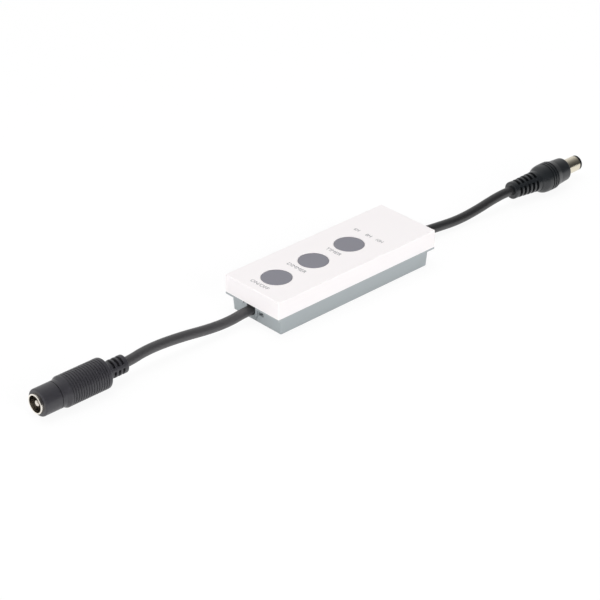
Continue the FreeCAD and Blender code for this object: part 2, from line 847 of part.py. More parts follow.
def jack_nose():
    """Front of the socket: a plastic tube with a closed back that the grip is moulded over."""
    outer = jack_nose_diameter / 2
    spigot = jack_spigot_diameter / 2
    bore = sleeve_diameter / 2 + sleeve_play
    back = jack_nose_length + jack_spigot_length
    rim = (jack_nose_round, outer - jack_nose_round)
    outline = [(0, bore), (0, rim[1]), arc_middle(rim, jack_nose_round, 135) + (rim[0], outer),
               (jack_nose_length, outer), (jack_nose_length, spigot), (back, spigot), (back, 0),
               (sleeve_depth, 0), (sleeve_depth, bore)]
    return placed(turned(outline), jack_face_x, jack_y, connector_z)


def jack_sleeve():
    """Outer contact of the socket: a metal tube that stands out a little, slotted for the spring."""
    tube = tube_x(sleeve_diameter, sleeve_bore, -sleeve_proud, sleeve_depth)
    slot = box(sleeve_slot_start, sleeve_slot_start + sleeve_slot_length, -sleeve_slot_width / 2,
               sleeve_slot_width / 2, 0, sleeve_diameter)
    return placed(tube.cut(slot), jack_face_x, jack_y, connector_z)


def jack_spring():
    """Leaf in the sleeve's slot, bowed into the bore to press on a plug."""
    play = (sleeve_slot_width - spring_width) / 2
    x0 = sleeve_slot_start + play
    x1 = sleeve_slot_start + sleeve_slot_length - play
    middle = (x0 + x1) / 2
    outer = sleeve_diameter / 2 - spring_thickness / 2
    inner = sleeve_bore / 2 - spring_sink
    above = Part.Arc(V(x0, 0, outer), V(middle, 0, inner + spring_thickness), V(x1, 0, outer)).toShape()
    below = Part.Arc(V(x1, 0, outer - spring_thickness), V(middle, 0, inner),
                     V(x0, 0, outer - spring_thickness)).toShape()
    ends = [Part.LineSegment(V(x1, 0, outer), V(x1, 0, outer - spring_thickness)).toShape(),
            Part.LineSegment(V(x0, 0, outer - spring_thickness), V(x0, 0, outer)).toShape()]
    leaf = Part.Face(Part.Wire([above, ends[0], below, ends[1]])).extrude(V(0, spring_width, 0))
    return placed(leaf, jack_face_x, jack_y - spring_width / 2, connector_z)


def jack_insulator():
    """Disc at the bottom of the socket that carries the pin."""
    disc = tube_x(sleeve_bore - 2 * insulator_play, pin_foot_diameter + 2 * pin_play,
                  sleeve_depth - insulator_thickness, sleeve_depth)
    return placed(disc, jack_face_x, jack_y, connector_z)


def jack_pin():
    """Centre contact of the socket, with a domed tip and a wider foot."""
    radius = pin_diameter / 2
    flat = radius - pin_tip_round
    corner = (pin_setback + pin_tip_round, flat)
    foot = pin_foot_diameter / 2
    step = sleeve_depth - insulator_thickness
    outline = [(pin_setback, 0), (pin_setback, flat),
               arc_middle(corner, pin_tip_round, 135) + (corner[0], radius),
               (step, radius), (step, foot), (sleeve_depth, foot), (sleeve_depth, 0)]
    return placed(turned(outline), jack_face_x, jack_y, connector_z)


def plug_handle():
    """Grip of the plug without its tail: front, step, grooved band and domed back."""
    front = plug_front_diameter / 2
    neck = plug_neck_diameter / 2
    full = plug_body_diameter / 2
    band = -(plug_neck_length + plug_step_length)
    dome = band - plug_band_length
    back = dome - plug_dome_length
    rim = (-plug_front_round, front - plug_front_round)
    outline = [(0, 0), (0, rim[1]), arc_middle(rim, plug_front_round, 45) + (rim[0], front),
               (-plug_neck_length, neck), bowed((-plug_neck_length, neck), (band, full), plug_step_bow)]
    first = band - (plug_band_length - plug_groove_pitch * (plug_groove_count - 1)) / 2
    for index in range(plug_groove_count):
        middle = first - plug_groove_pitch * index
        outline.append((middle + plug_groove_width / 2, full))
        outline.append((middle, full - plug_groove_depth))
        outline.append((middle - plug_groove_width / 2, full))
    outline.append((dome, full))
    outline.append(bowed((dome, full), (back, plug_dome_diameter / 2), plug_dome_bow))
    outline.append((back, 0))
    return turned(outline)


def plug_boot():
    """Tail of the plug, straight; it narrows towards the cord and is slotted to bend."""
    tail = -plug_boot_length
    root = plug_boot_root_diameter / 2
    end = plug_boot_tail_diameter / 2
    outline = [(0, 0), (0, root), (tail + plug_slot_first, end), (tail + plug_boot_edge, end),
               (tail, end - plug_boot_edge), (tail, 0)]
    slots = slot_cutters(tail, plug_slot_first, plug_slot_pitch, plug_slot_count, plug_slot_width,
                         plug_boot_root_diameter, plug_spine_angle, 1)
    return turned(outline).cut(slots)


def plug_body():
    """Whole grip of the plug, its tail bent a little the way the cord pulls it."""
    tail = plug_boot()
    tail.rotate(V(0, 0, 0), Z_AXIS, -plug_boot_bend)
    tail.translate(V(-plug_boot_pivot, 0, 0))
    grip = plug_handle().fuse(tail)
    grip = grip.cut([rod_x(barrel_root_diameter + 2 * barrel_play, barrel_back, 0),
                     rod_x(barrel_flange_diameter + 2 * barrel_play, barrel_back, -barrel_root_length)])
    return placed(grip, plug_face_x, plug_y, connector_z)


def plug_barrel():
    """Outer contact of the plug: a metal tube with a flange that holds it in the grip."""
    bore = barrel_bore / 2
    outer = barrel_diameter / 2
    root = barrel_root_diameter / 2
    flange = barrel_flange_diameter / 2
    outline = [(barrel_back, bore), (barrel_back, flange), (-barrel_root_length, flange),
               (-barrel_root_length, root), (0, root), (0, outer), (barrel_exposed, outer),
               (barrel_exposed, bore)]
    return placed(turned(outline), plug_face_x, plug_y, connector_z)


def plug_insulator():
    """Lining of the barrel that ends in a rounded black tip."""
    lining = barrel_bore / 2 - lining_play
    bore = contact_bore / 2 + contact_wall + contact_play
    tip = tip_diameter / 2
    end = barrel_exposed + tip_length
    centre = (end - tip_round, tip - tip_round)
    outline = [(barrel_back, bore), (barrel_back, lining), (barrel_exposed, lining),
               (barrel_exposed, tip), (centre[0], tip),
               arc_middle(centre, tip_round, 45) + (end, centre[1]), (end, bore)]
    return placed(turned(outline), plug_face_x, plug_y, connector_z)


def plug_contact():
    """Centre contact of the plug: a thin tube that takes the socket's pin."""
    end = barrel_exposed + tip_length - contact_setback
    tube = tube_x(contact_bore + 2 * contact_wall, contact_bore, end - contact_length, end)
    return placed(tube, plug_face_x, plug_y, connector_z)


def pieces():
    """Every piece by name."""
    made = {
        "top_cover": top_cover(),
        "bottom_case": bottom_case(),
        "circuit_board": circuit_board(),
        "control_chip": control_chip(),
        "power_transistor": power_transistor(),
        "voltage_regulator": voltage_regulator(),
        "filter_capacitor": filter_capacitor(),
        "chip_resistors": chip_resistors(),
        "timer_lamps": timer_lamps(),
    }
    for key, x in zip(KEYS, key_centres()):
        made[key + "_button"] = key_cap(x)
        made[key + "_switch_base"] = switch_base(x)
        made[key + "_switch_plate"] = switch_cover_plate(x)
        made[key + "_switch_stem"] = switch_stem(x)
        made[key + "_switch_dome"] = switch_dome(x)
    for lead, end in zip(("input", "output"), ENDS):
        made[lead + "_cord_tail"] = cord_tail(end)
        made[lead + "_cord_tie"] = cord_tie(end)
        made[lead + "_lead_wires"] = lead_wires(end)
    made["input_cord"] = free_cord("input_cord", input_route)
    made["output_cord"] = free_cord("output_cord", output_route)
    made["jack_body"] = jack_body()
    made["jack_nose"] = jack_nose()
    made["jack_sleeve"] = jack_sleeve()
    made["jack_spring"] = jack_spring()
    made["jack_insulator"] = jack_insulator()
    made["jack_pin"] = jack_pin()
    made["plug_body"] = plug_body()
    made["plug_barrel"] = plug_barrel()
    made["plug_insulator"] = plug_insulator()
    made["plug_contact"] = plug_contact()
    return made


def main():
    """Build each piece and write it to parts/."""
    os.makedirs("parts", exist_ok=True)
    for name, shape in pieces().items():
        if not shape.isValid():
            print("invalid:", name)
        shape.exportStep(f"parts/{name}.step")


main()
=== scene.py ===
"""Looks of the in-line push-button dimmer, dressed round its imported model.

Sizes in the classes below are millimetres, in a piece's own frame where it has one. Every mesh
is written in metres in the model's frame: +X from the socket end to the plug end, +Z up.
"""
import json
import logging
import math
from dataclasses import dataclass
from enum import Enum
import bmesh
import bpy
from bmesh.types import BMesh
from bpy.types import ID, Material, Node, NodeSocket, NodeTree, Object
from mathutils import Matrix, Vector


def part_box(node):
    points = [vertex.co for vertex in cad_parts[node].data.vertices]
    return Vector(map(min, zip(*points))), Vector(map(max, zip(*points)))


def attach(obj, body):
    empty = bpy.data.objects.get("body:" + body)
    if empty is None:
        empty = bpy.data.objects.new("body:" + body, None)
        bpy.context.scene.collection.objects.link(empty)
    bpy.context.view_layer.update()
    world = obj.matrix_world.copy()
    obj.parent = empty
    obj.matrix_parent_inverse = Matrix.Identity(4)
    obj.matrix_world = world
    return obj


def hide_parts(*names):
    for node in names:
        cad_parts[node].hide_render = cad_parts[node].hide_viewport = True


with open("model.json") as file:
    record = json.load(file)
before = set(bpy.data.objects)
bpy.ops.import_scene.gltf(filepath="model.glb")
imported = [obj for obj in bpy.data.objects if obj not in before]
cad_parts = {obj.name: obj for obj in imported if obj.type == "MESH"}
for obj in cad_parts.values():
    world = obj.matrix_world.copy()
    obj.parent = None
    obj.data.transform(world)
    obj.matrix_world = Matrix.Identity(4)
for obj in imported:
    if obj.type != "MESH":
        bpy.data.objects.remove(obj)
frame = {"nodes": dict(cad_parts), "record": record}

log = logging.getLogger("dimmer")

MM = 0.001
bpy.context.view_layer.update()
ON_AXIS = 1e-6                  # a distance from the axis that counts as none
TOUCHING = 1e-5                 # points closer than this are one
ROUND_FACES = 96                # faces round a small turned piece or a ring
GRIP_FACES = 128                # faces round a grip
SPINE_FACES = 6                 # faces across the outside of a spine
SHARP_ANGLE = math.radians(40)  # an edge that turns further is drawn sharp
CRISP = 0.05                    # rounding of an edge that looks sharp
EASED = 0.08                    # rounding of a moulded edge that catches light

Point = tuple[float, float]
Place = tuple[float, float, float]
Colour = tuple[float, float, float]


class Body(Enum):
    """Moving groups of the model."""

    HOUSING = "housing"
    ON_OFF = "on_off_key"
    DIMMER = "dimmer_key"
    TIMER = "timer_key"


class Slot(Enum):
    """Material slots of the record."""

    WHITE = "white_plastic"
    GREY = "grey_plastic"
    KEY = "key_plastic"
    SHEATH = "cord_sheath"
    GRIP = "grip_plastic"
    NICKEL = "nickel"
    BLACK = "black_plastic"
    BOARD = "board"
    CHIP = "chip_plastic"
    TIN = "tin"
    LAMP = "lamp"
    CAPACITOR = "capacitor_body"
    WIRE = "wire_insulation"
    NYLON = "nylon"


class Way(Enum):
    """How far a pattern is packed along X, Y and Z; a small number makes it long that way."""

    EVEN = (1.0, 1.0, 1.0)
    ALONG_X = (0.06, 1.0, 1.0)
    ROUND_X = (1.0, 0.05, 0.05)


@dataclass(frozen=True)
class Pattern:
    """Noise: its features in a metre, their octaves, and which way it is long."""

    per_metre: float
    octaves: float
    way: Way = Way.EVEN


class Sheet:
    """A node tree under construction."""

    def __init__(self, tree: NodeTree) -> None:
        """Start on a tree, emptied of its nodes."""
        self.tree = tree
        self.tree.nodes.clear()

    def node(self, kind: str, inputs: dict | None = None, **settings: object) -> Node:
        """Add a node.

        Args:
            kind: Blender's name of the node's type.
            inputs: Values or output sockets by input name or index.
            settings: Properties of the node.

        Returns:
            The new node.
        """
        made = self.tree.nodes.new(kind)
        for key, value in settings.items():
            setattr(made, key, value)
        for key, value in (inputs or {}).items():
            if isinstance(value, NodeSocket):
                self.tree.links.new(value, made.inputs[key])
            else:
                made.inputs[key].default_value = value
        return made

    def result(self, kind: str, inputs: dict | None = None, **settings: object) -> NodeSocket:
        """Add a node and give back its first output."""
        return self.node(kind, inputs, **settings).outputs[0]

    def maths(self, operation: str, first: object, second: object) -> NodeSocket:
        """Result of an operation on two values or sockets."""
        return self.result("ShaderNodeMath", {0: first, 1: second}, operation=operation)

    def ramp(self, value: NodeSocket, low: object, high: object) -> NodeSocket:
        """Range of a pattern, from low where it is 0 to high where it is 1."""
        return self.result("ShaderNodeMapRange", {"Value": value, "To Min": low, "To Max": high})


class ShaderSheet(Sheet):
    """A material's node tree under construction."""

    def __init__(self, name: str) -> None:
        """Start an empty material.

        Args:
            name: Name of the material.
        """
        self.material = bpy.data.materials.new(name)
        self.material.use_nodes = True
        super().__init__(self.material.node_tree)

    def position(self, way: Way) -> NodeSocket:
        """Object coordinates, packed along each axis as the way says."""
        place = self.node("ShaderNodeTexCoord").outputs["Object"]
        return self.result("ShaderNodeMapping", {"Vector": place, "Scale": way.value})

    def noise(self, pattern: Pattern) -> NodeSocket:
        """Grey noise in object coordinates."""
        return self.result("ShaderNodeTexNoise", {
            "Vector": self.position(pattern.way), "Scale": pattern.per_metre, "Detail": pattern.octaves})

    def spread(self, value: NodeSocket, middle: float, reach: float) -> NodeSocket:
        """Range of a pattern that reaches as far below its middle as above it."""
        return self.ramp(value, middle - reach, middle + reach)

    def shades(self, value: NodeSocket, dark: Colour, light: Colour) -> NodeSocket:
        """Blend of two colours by a pattern.

        Args:
            value: Pattern from 0 to 1.
            dark: Colour where it is 0.
            light: Colour where it is 1.

        Returns:
            The colour's output socket.
        """
        made = self.node("ShaderNodeMix", {"Factor": value}, data_type="RGBA")
        ends = {"A": (*dark, 1.0), "B": (*light, 1.0)}
        for socket in made.inputs:
            if socket.type == "RGBA":
                socket.default_value = ends[socket.name]
        return next(socket for socket in made.outputs if socket.type == "RGBA")

    def tints(self, value: NodeSocket, colour: Colour, low: float, high: float) -> NodeSocket:
        """Blend by a pattern of a colour made lighter by one share and by another."""
        return self.shades(value, tinted(colour, low), tinted(colour, high))

    def bump(self, height: NodeSocket, depth: float, under: NodeSocket | None = None) -> NodeSocket:
        """Surface relief.

        Args:
            height: Pattern from 0 to 1.
            depth: Height of the relief in millimetres.
            under: Relief that this one lies on.

        Returns:
            The normal's output socket.
        """
        inputs = {"Height": height, "Distance": depth * MM, "Strength": 1.0}
        if under is not None:
            inputs["Normal"] = under
        return self.result("ShaderNodeBump", inputs)

    def surface(self, inputs: dict) -> Material:
        """End the tree with a principled surface and give back the material."""
        return self.finish(self.result("ShaderNodeBsdfPrincipled", inputs))

    def finish(self, shader: NodeSocket) -> Material:
        """Send a shader to the output and give back the material."""
        self.node("ShaderNodeOutputMaterial", {"Surface": shader})
        return self.material


def tinted(colour: Colour, share: float) -> Colour:
    """The colour made lighter or darker by a share of itself."""
    return tuple(min(1.0, channel * (1.0 + share)) for channel in colour)


@dataclass(frozen=True)
class MouldedPlastic:
    """Injection-moulded plastic: a spark-eroded grain over a faint flow mottle."""

    name: str
    colour: Colour
    roughness: float
    grain_depth: float
    mottle: float
    flow: Pattern = Pattern(90.0, octaves=4.0)
    polish: Pattern = Pattern(340.0, octaves=3.0)
    grain: Pattern = Pattern(5200.0, octaves=2.0)
    rough_reach: float = 0.05

    def material(self) -> Material:
        """Build the finish.

        Returns:
            The material.
        """
        sheet = ShaderSheet(self.name)
        return sheet.surface({
            "Base Color": sheet.tints(sheet.noise(self.flow), self.colour, -self.mottle, self.mottle),
            "Roughness": sheet.spread(sheet.noise(self.polish), self.roughness, self.rough_reach),
            "Normal": sheet.bump(sheet.noise(self.grain), self.grain_depth)})


@dataclass(frozen=True)
class SoftSheath:
    """Flexible cord skin or moulded grip: satin, with fine drawn lines and a trace of bloom."""

    name: str
    colour: Colour
    bloom: Colour
    roughness: float
    specular: float
    line_depth: float
    lines: Pattern
    pore_share: float = 1 / 3
    clouds: Pattern = Pattern(160.0, octaves=5.0)
    pores: Pattern = Pattern(7000.0, octaves=2.0)
    rough_reach: float = 0.06

    def material(self) -> Material:
        """Build the finish.

        Returns:
            The material.
        """
        sheet = ShaderSheet(self.name)
        lines = sheet.noise(self.lines)
        pores = sheet.bump(sheet.noise(self.pores), self.line_depth * self.pore_share)
        return sheet.surface({
            "Base Color": sheet.shades(sheet.noise(self.clouds), self.colour, self.bloom),
            "Roughness": sheet.spread(lines, self.roughness, self.rough_reach),
            "Specular IOR Level": self.specular, "Normal": sheet.bump(lines, self.line_depth, pores)})


@dataclass(frozen=True)
class PlatedMetal:
    """Bright plating with fine turning marks round the X axis and a few dull patches."""

    name: str
    colour: Colour
    roughness: float = 0.2
    metallic: float = 1.0
    mark_depth: float = 0.0015
    marks: Pattern = Pattern(5200.0, octaves=3.0, way=Way.ROUND_X)
    patches: Pattern = Pattern(420.0, octaves=4.0)
    tint_ends: tuple[float, float] = (-0.06, 0.03)
    rough_ends: tuple[float, float] = (-0.05, 0.1)

    def material(self) -> Material:
        """Build the finish.

        Returns:
            The material.
        """
        sheet = ShaderSheet(self.name)
        patches = sheet.noise(self.patches)
        low, high = (self.roughness + change for change in self.rough_ends)
        return sheet.surface({
            "Base Color": sheet.tints(patches, self.colour, *self.tint_ends), "Metallic": self.metallic,
            "Roughness": sheet.ramp(patches, low, high),
            "Normal": sheet.bump(sheet.noise(self.marks), self.mark_depth)})


@dataclass(frozen=True)
class PrintedInk:
    """Pad-printed ink: nearly flat, a little uneven where the pad lifted."""

    name: str
    colour: Colour
    roughness: float = 0.55
    specular: float = 0.3
    relief: float = 0.001
    cover: Pattern = Pattern(2400.0, octaves=3.0)
    tint_ends: tuple[float, float] = (-0.12, 0.16)

    def material(self) -> Material:
        """Build the finish.

        Returns:
            The material.
        """
        sheet = ShaderSheet(self.name)
        cover = sheet.noise(self.cover)
        return sheet.surface({
            "Base Color": sheet.tints(cover, self.colour, *self.tint_ends), "Roughness": self.roughness,
            "Specular IOR Level": self.specular, "Normal": sheet.bump(cover, self.relief)})


@dataclass(frozen=True)
class CoatedBoard:
    """Circuit board: a fine grid of copper tracks under a green coat."""

    name: str
    coat: Colour
    copper: Colour
    track_pitch: float = 1.27
    rows_per_unit: float = 4.0
    track_share: float = 0.02
    track_softness: float = 0.1
    track_relief: float = 0.03
    roughness: float = 0.35
    coat_weight: float = 0.4
    coat_roughness: float = 0.15

    def material(self) -> Material:
        """Build the finish.

        Returns:
            The material.
        """
        sheet = ShaderSheet(self.name)
        size = self.track_pitch * MM * self.rows_per_unit
        tracks = sheet.node("ShaderNodeTexBrick", {
            "Vector": sheet.position(Way.EVEN), "Scale": 1.0 / size, "Mortar Size": self.track_share,
            "Mortar Smooth": self.track_softness}).outputs["Fac"]
        return sheet.surface({
            "Base Color": sheet.shades(tracks, self.coat, self.copper), "Roughness": self.roughness,
            "Coat Weight": self.coat_weight, "Coat Roughness": self.coat_roughness,
            "Normal": sheet.bump(tracks, self.track_relief)})


@dataclass(frozen=True)
class ClearLens:
    """Water-clear moulded lamp with a milky heart."""

    name: str
    colour: Colour
    roughness: float = 0.12
    clearness: float = 0.5
    relief: float = 0.002
    clouds: Pattern = Pattern(900.0, octaves=3.0)
    tint_ends: tuple[float, float] = (-0.1, 0.0)

    def material(self) -> Material:
        """Build the finish.

        Returns:
            The material.
        """
        sheet = ShaderSheet(self.name)
        cloud = sheet.noise(self.clouds)
        return sheet.surface({
            "Base Color": sheet.tints(cloud, self.colour, *self.tint_ends), "Roughness": self.roughness,
            "Transmission Weight": self.clearness, "Normal": sheet.bump(cloud, self.relief)})


class Finishes:
    """Every finish of the dimmer, built once and handed out by slot."""

    DRAWN = Pattern(2600.0, octaves=3.0, way=Way.ALONG_X)
    ERODED = Pattern(2600.0, octaves=3.0)
    BY_SLOT = {
        Slot.WHITE: MouldedPlastic("white_shell", (0.935, 0.9, 0.905), 0.5, grain_depth=0.003,
                                   mottle=0.006),
        Slot.GREY: MouldedPlastic("grey_shell", (0.375, 0.41, 0.425), 0.5, grain_depth=0.004, mottle=0.02),
        Slot.KEY: MouldedPlastic("key_face", (0.228, 0.226, 0.258), 0.6, grain_depth=0.006, mottle=0.03),
        Slot.SHEATH: SoftSheath("cord_skin", (0.015, 0.015, 0.016), (0.021, 0.021, 0.022), roughness=0.42,
                                specular=0.9, line_depth=0.006, lines=DRAWN),
        Slot.GRIP: SoftSheath("grip_skin", (0.009, 0.0105, 0.0125), (0.013, 0.0155, 0.018), roughness=0.34,
                              specular=0.7, line_depth=0.003, lines=ERODED),
        Slot.NICKEL: PlatedMetal("nickel_plate", (0.79, 0.73, 0.59)),
        Slot.BLACK: MouldedPlastic("black_moulding", (0.012, 0.012, 0.013), 0.4, grain_depth=0.003,
                                   mottle=0.15),
        Slot.BOARD: CoatedBoard("board_coat", (0.02, 0.13, 0.05), copper=(0.06, 0.24, 0.09)),
        Slot.CHIP: MouldedPlastic("chip_epoxy", (0.022, 0.022, 0.024), 0.6, grain_depth=0.008, mottle=0.2),
        Slot.TIN: PlatedMetal("tin_plate", (0.62, 0.62, 0.6), roughness=0.35),
        Slot.LAMP: ClearLens("lamp_lens", (0.85, 0.84, 0.72)),
        Slot.CAPACITOR: MouldedPlastic("capacitor_block", (0.55, 0.36, 0.08), 0.45, grain_depth=0.005,
                                       mottle=0.08),
        Slot.WIRE: MouldedPlastic("wire_skin", (0.36, 0.02, 0.018), 0.35, grain_depth=0.002, mottle=0.05),
        Slot.NYLON: MouldedPlastic("nylon", (0.66, 0.65, 0.6), 0.4, grain_depth=0.003, mottle=0.04),
    }
    # Lighter copies of the cord and grip finishes, worn by the input cord and the socket: painted light,
    # standing in for the stronger light on the socket end; the plug's cord and grip wear the darker
    # originals.
    SHEATH_PAINTED_LIGHTER = SoftSheath("dusty_cord_skin", (0.038, 0.037, 0.04), (0.052, 0.051, 0.053),
                              roughness=0.44, specular=0.9, line_depth=0.006, lines=DRAWN)
    GRIP_PAINTED_LIGHTER = SoftSheath("dusty_grip_skin", (0.029, 0.028, 0.034), (0.039, 0.038, 0.044),
                            roughness=0.38, specular=0.6, line_depth=0.004, lines=ERODED)
    SLEEVE = PlatedMetal("sleeve_plate", (0.93, 0.88, 0.8), roughness=0.18)
    PIN = PlatedMetal("pin_plate", (0.78, 0.73, 0.66), roughness=0.3, metallic=0.8)
    INK = PrintedInk("legend_ink", (0.25, 0.25, 0.265))

    def __init__(self) -> None:
        """Build the materials."""
        self.by_slot = {slot: finish.material() for slot, finish in self.BY_SLOT.items()}
        # Lighter copies for the socket end: painted light.
        self.sheath_painted_lighter = self.SHEATH_PAINTED_LIGHTER.material()
        self.grip_painted_lighter = self.GRIP_PAINTED_LIGHTER.material()
        self.sleeve = self.SLEEVE.material()
        self.pin = self.PIN.material()
        self.ink = self.INK.material()

    def dress_frame(self) -> None:
        """Give each node of the model the finish of its slot in the record."""
        for part in frame["record"]["subparts"]:
            node = frame["nodes"][part["node"]]
            slot = Slot(part["material_slot"])
            for place in node.material_slots:
                place.material = self.by_slot[slot]
            log.info("node %s wears %s", part["node"], slot.value)


@dataclass(frozen=True)
class Corner:
    """Corner of an outline: its place along the axis, its distance from it, and its rounding."""

    x: float
    r: float
    round: float = 0.0


class Outline:
    """Run of corners that starts and ends on the axis, with their roundings worked out."""

    STEPS = 5             # points round a corner, after the first
    REACH_SHARE = 0.45    # of the shorter side that a rounding may take
    HOLD = 0.03           # from a rounding to the point that keeps the side beside it straight
    HOLD_SHARE = 0.04     # of the shorter side that this may take

    def __init__(self, corners: list[Corner]) -> None:
        """Work out the points.

        Args:
            corners: Corners in order.
        """
        self.points: list[Point] = []
        last = len(corners) - 1
        for index, corner in enumerate(corners):
            if 0 < index < last and corner.round > 0:
                self._round(corners[index - 1], corner, corners[index + 1])
            else:
                self.points.append((corner.x, corner.r))

    def _round(self, before: Corner, corner: Corner, after: Corner) -> None:
        """Add a rounded corner, held by a point on each straight side of it.

        Args:
            before: The corner before it.
            corner: The corner.
            after: The corner after it.
        """
        here = Vector((corner.x, corner.r))
        back = Vector((before.x, before.r)) - here
        ahead = Vector((after.x, after.r)) - here
        room = min(back.length, ahead.length)
        back.normalize()
        ahead.normalize()
        half = back.angle(ahead) / 2
        reach = min(corner.round / math.tan(half), room * self.REACH_SHARE)
        radius = reach * math.tan(half)
        centre = here + (back + ahead).normalized() * (radius / math.sin(half))
        first = here + back * reach
        last = here + ahead * reach
        start = math.atan2(first.y - centre.y, first.x - centre.x)
        sweep = math.atan2(last.y - centre.y, last.x - centre.x) - start
        sweep = (sweep + math.pi) % (2 * math.pi) - math.pi
        hold = min(self.HOLD, room * self.HOLD_SHARE)
        self.points.append(tuple(first + back * hold))
        for step in range(self.STEPS + 1):
            angle = start + sweep * step / self.STEPS
            self.points.append((centre.x + radius * math.cos(angle), centre.y + radius * math.sin(angle)))
        self.points.append(tuple(last + ahead * hold))


def turned_mesh(outline: Outline, segments: int = ROUND_FACES) -> BMesh:
    """Turn an outline about the X axis.

    Args:
        outline: Points of the section.
        segments: Faces round the axis.

    Returns:
        A closed mesh in millimetres.
    """
    mesh = bmesh.new()
    rings = []
    for x, r in outline.points:
        if r < ON_AXIS:
            rings.append([mesh.verts.new((x, 0.0, 0.0))])
            continue
        turns = (2 * math.pi * index / segments for index in range(segments))
        rings.append([mesh.verts.new((x, r * math.cos(turn), r * math.sin(turn))) for turn in turns])
    for first, second in zip(rings, rings[1:]):
        for index in range(segments):
            after = (index + 1) % segments
            corners = [first[index % len(first)], first[after % len(first)],
                       second[after % len(second)], second[index % len(second)]]
            face = list(dict.fromkeys(corners))
            if len(face) > 2:
                mesh.faces.new(face)
    bmesh.ops.recalc_face_normals(mesh, faces=mesh.faces)
    return mesh


def sector_mesh(x0: float, x1: float, inner: float, outer0: float, outer1: float, width: float,
                angle: float) -> BMesh:
    """Bar along the X axis whose outside follows a cone.

    Args:
        x0: Where the bar starts.
        x1: Where it ends.
        inner: Its inner radius.
        outer0: Its outer radius at the start.
        outer1: Its outer radius at the end.
        width: Its width.
        angle: Direction from the axis in radians, from +Y towards +Z.

    Returns:
        A closed mesh in millimetres.
    """
    mesh = bmesh.new()
    half = math.asin(width / 2 / outer0)
    ends = []
    for x, outer in ((x0, outer0), (x1, outer1)):
        ring = []
        across = range(SPINE_FACES + 1)
        for radius, order in ((outer, across), (inner, reversed(across))):
            for step in order:
                turn = angle - half + 2 * half * step / SPINE_FACES
                ring.append(mesh.verts.new((x, radius * math.cos(turn), radius * math.sin(turn))))
        ends.append(ring)
        mesh.faces.new(ring)
    count = len(ends[0])
    for index in range(count):
        after = (index + 1) % count
        mesh.faces.new((ends[0][index], ends[0][after], ends[1][after], ends[1][index]))
    bmesh.ops.recalc_face_normals(mesh, faces=mesh.faces)
    return mesh


def add_object(name: str, data: ID) -> Object:
    """Put a new object into the scene.

    Args:
        name: Name of the object.
        data: Its mesh, curve, light or camera.

    Returns:
        The object.
    """
    made = bpy.data.objects.new(name, data)
    bpy.context.scene.collection.objects.link(made)
    return made


def evaluated_mesh(holder: Object) -> BMesh:
    """Read the mesh that an object's curve or modifier gives.

    Args:
        holder: The object.

    Returns:
        A copy of the mesh.
    """
    graph = bpy.context.evaluated_depsgraph_get()
    plain = bpy.data.meshes.new_from_object(holder.evaluated_get(graph), depsgraph=graph)
    mesh = bmesh.new()
    mesh.from_mesh(plain)
    bpy.data.meshes.remove(plain)
    return mesh


class FormSheet(Sheet):
    """A geometry node tree under construction."""

    SOCKETS = {float: "NodeSocketFloat", int: "NodeSocketInt"}

    def __init__(self, name: str, sizes: dict[str, type]) -> None:
        """Start a tree.

        Args:
            name: Name of the tree.
            sizes: Named inputs and whether each is a float or an int.
        """
        super().__init__(bpy.data.node_groups.new(name, "GeometryNodeTree"))
        for label, kind in sizes.items():
            self.tree.interface.new_socket(label, in_out="INPUT", socket_type=self.SOCKETS[kind])
        self.tree.interface.new_socket("Finish", in_out="INPUT", socket_type="NodeSocketMaterial")
        self.tree.interface.new_socket("Geometry", in_out="OUTPUT", socket_type="NodeSocketGeometry")
        self.inputs = self.node("NodeGroupInput").outputs

    def finish(self, geometry: NodeSocket) -> NodeTree:
        """End the tree with real, smooth, dressed geometry.

        Args:
            geometry: What the tree has made.

        Returns:
            The tree.
        """
        real = self.result("GeometryNodeRealizeInstances", {"Geometry": geometry})
        smooth = self.result("GeometryNodeSetShadeSmooth", {"Geometry": real})
        dressed = self.result("GeometryNodeSetMaterial", {
            "Geometry": smooth, "Material": self.inputs["Finish"]})
        self.node("NodeGroupOutput", {"Geometry": dressed})
        return self.tree


